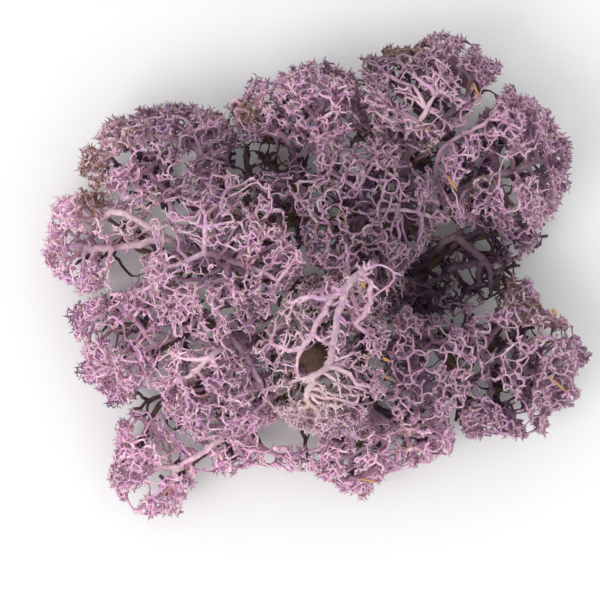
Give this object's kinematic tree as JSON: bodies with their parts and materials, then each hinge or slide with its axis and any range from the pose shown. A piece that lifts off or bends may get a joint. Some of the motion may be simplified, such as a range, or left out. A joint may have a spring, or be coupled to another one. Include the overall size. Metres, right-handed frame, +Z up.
{
  "type": "reindeer moss clump",
  "caption": "Dyed lilac clump of tangled, finely forked lichen tufts with rounded heads on a net of old dead stems, lying on a surface.",
  "frame": {"origin": "middle of the clump's footprint, on the surface it lies on", "axes": "+Z up from the surface, +X along the clump's longest side, +Y away from the viewer who looks down on it"},
  "size_m": [0.1096, 0.0964, 0.0439],
  "materials": {
    "lilac_lichen": "matt, finely felted, dyed lilac, darker and browner inside and at some tips",
    "dead_lichen": "matt, crumbling, olive brown"
  },
  "bodies": {
    "root": {"old_stems": "dead_lichen", "tuft_upper_left": "lilac_lichen", "tuft_left": "lilac_lichen", "tuft_left_lower": "lilac_lichen", "tuft_bottom_left": "lilac_lichen", "tuft_centre_left": "lilac_lichen", "tuft_lower_left": "lilac_lichen", "tuft_centre": "lilac_lichen", "tuft_top_centre": "lilac_lichen", "tuft_top_right": "lilac_lichen", "tuft_right_upper": "lilac_lichen", "tuft_right": "lilac_lichen", "tuft_centre_net": "lilac_lichen", "tuft_lower_right": "lilac_lichen", "tuft_bottom_centre": "lilac_lichen", "tuft_centre_right": "lilac_lichen", "tuft_mid_right": "lilac_lichen", "tuft_upper_mid": "lilac_lichen"}
  },
  "joints": []
}
